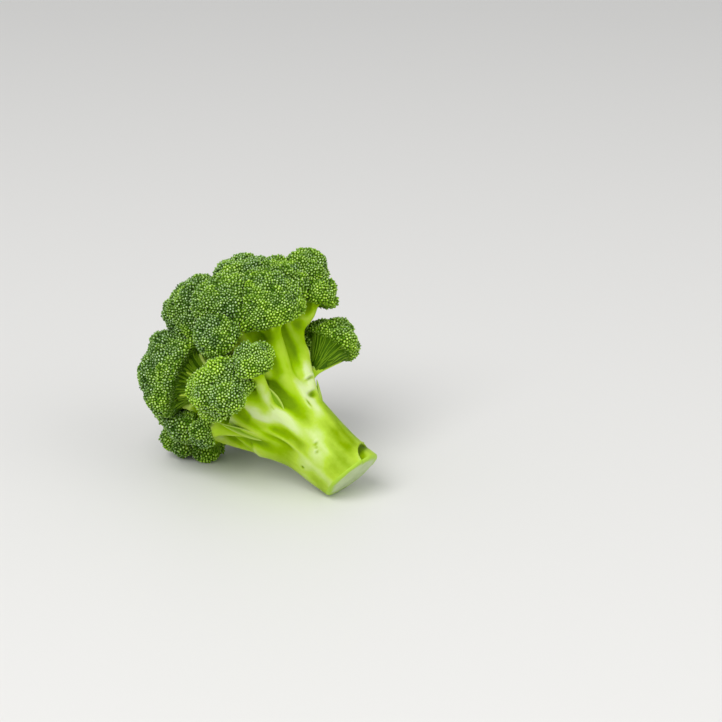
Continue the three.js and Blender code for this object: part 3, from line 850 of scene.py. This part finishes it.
def cluster_relief(base, clusters, index):
    """How far each point stands out, or lies in the dark lines between clusters; which cluster is
    its own; and how much it shares in what sets that one apart."""
    square = ((base[:, None] - clusters[None]) ** 2).sum(2)
    order = np.argsort(square, axis=1)[:, :3]
    first, second, third = np.sqrt(np.take_along_axis(square, order, axis=1)).T
    uneven = np.sin(7.1 * order[:, 0] * order[:, 1] + index) * 0.5 + 0.5
    bump = CLUSTER_HEIGHT * (0.6 - (first / (0.62 * CLUSTER_PITCH)) ** 2)
    bump -= (0.2 + 1.0 * uneven) * np.exp(-((second - first) / 0.9) ** 2)
    bump -= (0.6 + 1.6 * uneven) * np.exp(-((third - first) / 1.1) ** 2)
    return bump, order[:, 0], np.clip(1.5 - first / 2.4, 0, 1)


def bud_faces(triangles, count):
    """The faces between this many apexes, the ring points after them, three to a triangle, and
    the valleys last, one to a triangle."""
    # A half edge runs from one bud to the next along a triangle. Its twin runs back.
    tail, head = triangles.ravel(), np.roll(triangles, -1, axis=1).ravel()
    key, twin_key = tail * count + head, head * count + tail
    sorter = np.argsort(key)
    twin = sorter[np.searchsorted(key[sorter], twin_key)]
    near_ring = count + np.arange(len(tail))
    far_ring = count + 3 * (twin // 3) + (twin + 1) % 3
    valleys = count + len(tail)
    near_valley, far_valley = valleys + np.arange(len(tail)) // 3, valleys + twin // 3
    return np.vstack([np.stack(corners, axis=1)
                      for corners in ((tail, far_ring, near_ring),
                                      (far_ring, far_valley, near_valley),
                                      (far_ring, near_valley, near_ring))])


SUNK_SHARE = 0.2  # this part of the buds sits lower than the rest
RING = 0.6  # a bud's side is this part of the way from its middle to the valleys round it
SIDE_HEIGHT = 0.72  # and this part of its height up
VALLEY_DEPTH = 0.6
RIPE_PATCH = 11.0  # the size of patches of riper buds


def bud_surface(floret, index):
    """Points and faces of a floret, how near its tip, how young, how pale and how high above the
    rim each point is, and its direction."""
    draw = np.random.default_rng(400 + index)
    rim_rise = floret["rim"]
    cluster = spread(floret, lambda d: np.full(len(d), CLUSTER_PITCH), draw)
    cluster_lift = draw.normal(0, 0.35, len(cluster))
    cluster_youth = draw.normal(0, 0.16, len(cluster))

    def bud_spacing(directions):
        rise = directions @ floret["axis"]
        under = smooth_step(-rise, 0.02 - rim_rise, 0.19 - rim_rise)
        return BUD_PITCH + (UNDERSIDE_PITCH - BUD_PITCH) * under

    directions = spread(floret, bud_spacing, draw)
    rise = directions @ floret["axis"]
    above = smooth_step(rise, rim_rise - RIM_WIDTH, rim_rise + 0.02)
    base = floret_skin(floret, directions)
    bump, own, share = cluster_relief(base, floret_skin(floret, cluster), index)
    bump += cluster_lift[own] * share
    sunk = draw.random(len(base)) < SUNK_SHARE
    base = base + (above * (bump - 0.45 * sunk))[:, None] * directions
    base = base + above[:, None] * draw.normal(0, 0.15, base.shape)

    triangles = hull_triangles(directions)
    a, b, c = (base[triangles[:, corner]] for corner in range(3))
    facing = np.cross(b - a, c - a)
    normals = unit(sum(summed(triangles[:, corner], facing, len(base)) for corner in range(3)))

    height = BUD_HEIGHT * np.clip(1 + draw.normal(0, 0.24, len(base)) - 0.3 * sunk, 0.35, 1.6)
    height *= 0.12 + 0.88 * above
    apex = base + height[:, None] * normals + above[:, None] * draw.normal(0, 0.12, base.shape)
    middles = (a + b + c) / 3
    bud_of = triangles.ravel()
    ring = (base[bud_of] + RING * (np.repeat(middles, 3, axis=0) - base[bud_of])
            + SIDE_HEIGHT * height[bud_of, None] * normals[bud_of])
    valley = middles - VALLEY_DEPTH * height[triangles].mean(axis=1)[:, None] * unit(facing)
    points = np.vstack([apex, ring, valley])

    # Ripeness comes in patches, and the buds near the rim are the youngest.
    young = 0.5 - 0.8 * (floret["ripe"] - 0.5) + cluster_youth[own]
    young += 0.32 * point_noise(base, RIPE_PATCH, index) + draw.normal(0, 0.09, len(base)) - 0.12
    young += 0.55 * (1 - smooth_step(rise, rim_rise - 0.05, rim_rise + 0.6))
    # The tone varies at random and with the floret's bloom. Buds in the dark lines between clusters
    # and sunk buds get a lower tone, which is painted shade.
    tone_and_shade = 0.52 + floret["bloom"] + draw.normal(0, 0.25, len(base))
    tone_and_shade += 0.25 * np.clip(bump, -1.4, 0.4) - 0.26 * sunk
    facts = {word: np.concatenate([values, values[bud_of], values[triangles].mean(axis=1)])
             for word, values in dict(young=np.clip(young, 0, 1), tone_and_shade=np.clip(tone_and_shade, 0, 1),
                                      above=above).items()}
    facts["tip"] = np.repeat([1.0, 0.55, 0.0], [len(apex), len(ring), len(valley)])
    spokes = unit(points - floret["middle"])
    points[:, 2] = np.maximum(points[:, 2], 0)
    return points, bud_faces(triangles, len(base)), facts, spokes


def flat_map(mesh, floret, spokes):
    """A map of the floret for flat pictures of it, as a globe is drawn round its pole."""
    rise = np.clip(spokes @ floret["axis"], -1, 1)
    round_axis = np.stack([spokes @ floret["across"], spokes @ floret["over"]], axis=1)
    round_axis /= np.linalg.norm(round_axis, axis=1)[:, None] + 1e-9
    places = 0.5 + 0.49 * np.sqrt((1 - rise) / 2)[:, None] * round_axis
    corners = read(mesh.loops, "vertex_index", 1, int)[:, 0]
    mesh.uv_layers.new(name="OFBake").data.foreach_set("uv", places[corners].ravel())


# Flower buds: tight green buds with a bloom of wax that makes their tips pale and bluish, and the
# pale tips are also a painted highlight. The young ones are yellow-green, and the dark colour
# between them is painted shade.
bud_material, tree, shader, told = new_material("waxy flower buds", "tip", "young", "tone_and_shade",
                                                "above")
dull, fresh, pale, deep = [
    add(tree, "Mix", {0: told["young"], 6: colour(ripe), 7: colour(unripe)}, **BLEND)[2]
    for ripe, unripe in (("#2E5208", "#527F06"), ("#6E9A32", "#9FD01C"), ("#DCECD2", "#E4F4A0"),
                         ("#102400", "#284600"))]
side = add(tree, "Mix", {0: told["tone_and_shade"], 6: dull, 7: fresh}, **BLEND)
bloom = add(tree, "Mix", {0: told["tone_and_shade"], 6: side[2], 7: pale}, **BLEND)
to_side = add(tree, "MapRange", {"Value": told["tip"], "From Min": 0.1, "From Max": 0.55},
              **GENTLE)
to_tip = add(tree, "MapRange", {"Value": told["tip"], "From Min": 0.56, "From Max": 0.95})
lower = add(tree, "Mix", {0: to_side["Result"], 6: deep, 7: side[2]}, **BLEND)
whole = add(tree, "Mix", {0: to_tip["Result"], 6: lower[2], 7: bloom[2]}, **BLEND)
# Below the rim the skin is a dark olive: partly its own inner green and partly painted shade under
# the floret.
finished = add(tree, "Mix", {0: told["above"], 6: colour("#466A0A"), 7: whole[2]}, **BLEND)
connect(tree, shader, {"Base Color": finished[2], "Roughness": 0.5, "IOR": 1.42,
                       "Specular IOR Level": 0.09})

for index, floret in enumerate(florets):
    floret["domes"] = domes_of(floret, index)
    points, faces, facts, spokes = bud_surface(floret, index)
    name = f"floret_{index + 1:02d}"
    bunch = new_object(f"buds_{index + 1:02d}", points, faces.tolist())
    paint(bunch.data, **facts)
    flat_map(bunch.data, floret, spokes)
    shade_smooth(bunch)
    bunch.data.materials.append(bud_material)
    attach(bunch, "root")
    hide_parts(name)

# ---------------- bud stems
# Under each floret its ribs fray into thin round stems, one to every few buds, which fan out
# over the hollow to the rim. They are juicy and smooth, as the stalk is, but a fresher green.
STEM_WIDTH = 0.62
STEMS_APART = 2.0  # at the rim


def bud_stem(floret, turn, start, draw):
    """One thin stem on the floret's underside, from part way out to the rim."""
    depth, rim_rise = floret["hollow"], floret["rim"]
    slope = max(-rim_rise, 0) / math.sqrt(1 - rim_rise ** 2)
    end = depth / (depth + RIM * slope)
    points = []
    for step in np.linspace(start * end, 1.04 * end, 5):
        sideways = sideways_at(floret, turn + draw.normal(0, 0.05))
        points.append(RIM * step * sideways - depth * (1 - step) * floret["axis"])
    width = STEM_WIDTH * floret["stem_width"]
    taper = lambda t, angle: width * (1.25 - 0.35 * t)
    return limb(floret_skin(floret, unit(np.array(points))), taper, steps=5)


draw = np.random.default_rng(90)
stems = []
for floret in florets:
    count = int(2 * math.pi * 0.7 * floret["radius"] / STEMS_APART)
    for number in range(count):
        turn = 2 * math.pi * (number + 0.5 * draw.random()) / count
        stems.append(bud_stem(floret, turn, draw.uniform(0.12, 0.6), draw))
points, faces = gathered(limb_mesh(one, sides=5) for one in stems)
points = np.array(points)
points[:, 2] = np.maximum(points[:, 2], 0)
bud_stems = new_object("bud_stems", points, faces)
shade_smooth(bud_stems)

# Thin stem skin: the stalk's yellow-green without its wax, deeper in places.
STEM_PATCHES = 3.846
thin_material, tree, shader, _ = new_material("thin stem skin")
where = add(tree, "TexCoord")
cloud = add(tree, "TexNoise", {"Vector": where["Object"], "Scale": scale_for(STEM_PATCHES),
                               "Detail": 2.0})
stem_green = add(tree, "Mix", {0: cloud["Fac"], 6: colour("#567C08"), 7: colour("#88AE22")},
                 **BLEND)
connect(tree, shader, {"Base Color": stem_green[2], "Roughness": 0.45, "IOR": 1.42,
                       "Specular IOR Level": 0.15})
bud_stems.data.materials.append(thin_material)
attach(bud_stems, "root")
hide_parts("stalk")

# ---------------- bracts
# A few narrow leaves were left on below the branches: stiff pointed blades, cupped along their
# length, thin and pale at the edge.
BRACT_THICKNESS = 0.5
BRACT_BOW = 1.0  # its middle lies this far in, towards the stalk
BRACT_CUP = 0.75  # how deep the cup is, as a part of half the width
BRACT_STEPS, BRACT_COLUMNS = 14, 6  # of the mesh, along a leaf and across it
BRACT_ACROSS = np.linspace(-1, 1, BRACT_COLUMNS + 1)
bracts = [dict(foot=(50, 149, 20), tip=(67, 137, 37), width=6.0),
          dict(foot=(50, 205, 21), tip=(75, 199, 38), width=6.5),
          dict(foot=(44, 46, 15), tip=(58, 50, 25), width=5.0)]


def bract_mesh(bract):
    """Points and faces of one leaf, row by row from its foot."""
    foot, tip = place(*bract["foot"]), place(*bract["tip"])
    out = outward(bract["tip"][1])
    middle = (foot + tip) / 2 - BRACT_BOW * out
    middles, ways = smooth_curve([foot, middle, tip], BRACT_STEPS)
    points = []
    for step, (middle, way) in enumerate(zip(middles, ways)):
        t = step / BRACT_STEPS
        half = bract["width"] / 2 * (0.35 + 0.85 * math.sin(math.pi * t ** 0.8) - 0.3 * t)
        sideways = unit(np.cross(way, out))
        points += [middle + half * (across * sideways + BRACT_CUP * across ** 2 * out)
                   for across in BRACT_ACROSS]
    row = BRACT_COLUMNS + 1
    faces = [(start, start + 1, start + 1 + row, start + row)
             for step in range(BRACT_STEPS)
             for start in range(step * row, step * row + BRACT_COLUMNS)]
    return points, faces


points, faces = gathered(bract_mesh(bract) for bract in bracts)
edge_on = np.tile(np.abs(BRACT_ACROSS), len(bracts) * (BRACT_STEPS + 1))
leaves = new_object("bracts", points, faces)
paint(leaves.data, edge=edge_on)
thicken = leaves.modifiers.new("leaf thickness", "SOLIDIFY")
thicken.thickness = BRACT_THICKNESS * METRES
thicken.offset = 0
apply_modifiers(leaves)
shade_smooth(leaves)

# Leaf skin: deep green in the cup, and pale along the edges, partly wax and partly a painted
# highlight.
leaf_material, tree, shader, told = new_material("bract leaf skin", "edge")
to_edge = add(tree, "MapRange", {"Value": told["edge"], "From Min": 0.55, "From Max": 1.0},
              **GENTLE)
leaf_green = add(tree, "Mix", {0: to_edge["Result"], 6: colour("#7FA80C"), 7: colour("#BCD85C")},
                 **BLEND)
connect(tree, shader, {"Base Color": leaf_green[2], "Roughness": 0.5, "Specular IOR Level": 0.12})
leaves.data.materials.append(leaf_material)
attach(leaves, "root")
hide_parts("stalk")

# ---------------- table, light and camera
# The head lies on a plain pale table under one large soft light, with a weaker fill from the
# other side.
TABLE = 6000  # half its width
floor = new_object("table", [(-TABLE, -TABLE, 0), (TABLE, -TABLE, 0), (TABLE, TABLE, 0),
                             (-TABLE, TABLE, 0)], [(0, 1, 2, 3)])
floor_material, tree, shader, _ = new_material("matt painted table")
connect(tree, shader, {"Base Color": colour("#DBDAD7"), "Roughness": 0.6})
floor.data.materials.append(floor_material)


def soft_light(name, at, aim, width, watts):
    """A square light with soft edges, turned to face a point. Places are in metres."""
    lamp = bpy.data.lights.new(name, "AREA")
    lamp.size = width
    lamp.energy = watts
    made = bpy.data.objects.new(name, lamp)
    made.location = at
    made.rotation_euler = (Vector(aim) - Vector(at)).to_track_quat("-Z", "Y").to_euler()
    bpy.context.scene.collection.objects.link(made)


HEAD_MIDDLE = (-0.01, 0, 0.06)
soft_light("key light", (0.5, -2.3, 2.75), HEAD_MIDDLE, 2.4, 105)
soft_light("fill light", (1.9, 0.2, 1.1), HEAD_MIDDLE, 1.8, 12)
world = bpy.data.worlds.new("pale room")
bpy.context.scene.world = world
world.use_nodes = True
connect(world.node_tree, world.node_tree.nodes["Background"],
        {"Color": colour("#F2F3F5"), "Strength": 0.62})
bpy.context.scene.view_settings.view_transform = "Standard"

# The camera looks down a little on the head, from its cut end and one side.
CAMERA_BEARING = math.radians(38.7)  # from straight along +Y, turned towards +X
CAMERA_HEIGHT = math.radians(20)
CAMERA_DISTANCE = 1200
FRAME_WIDTH = 418.8  # what the camera sees from side to side where the head lies
AIM_RIGHT, AIM_UP = 4.06, 66.7  # from the cut, to the middle of what it sees
back = np.array([math.sin(CAMERA_BEARING) * math.cos(CAMERA_HEIGHT),
                 -math.cos(CAMERA_BEARING) * math.cos(CAMERA_HEIGHT), math.sin(CAMERA_HEIGHT)])
right = np.array([math.cos(CAMERA_BEARING), math.sin(CAMERA_BEARING), 0])
upward = np.cross(back, right)
aim = CUT_END + AIM_RIGHT * right + AIM_UP * upward
lens = bpy.data.cameras.new("camera")
lens.angle = 2 * math.atan(FRAME_WIDTH / 2 / CAMERA_DISTANCE)
camera = bpy.data.objects.new("camera", lens)
camera.matrix_world = Matrix.Translation(Vector((aim + CAMERA_DISTANCE * back) * METRES)) @ Matrix(
    (right, upward, back)).transposed().to_4x4()
bpy.context.scene.collection.objects.link(camera)
bpy.context.scene.camera = camera
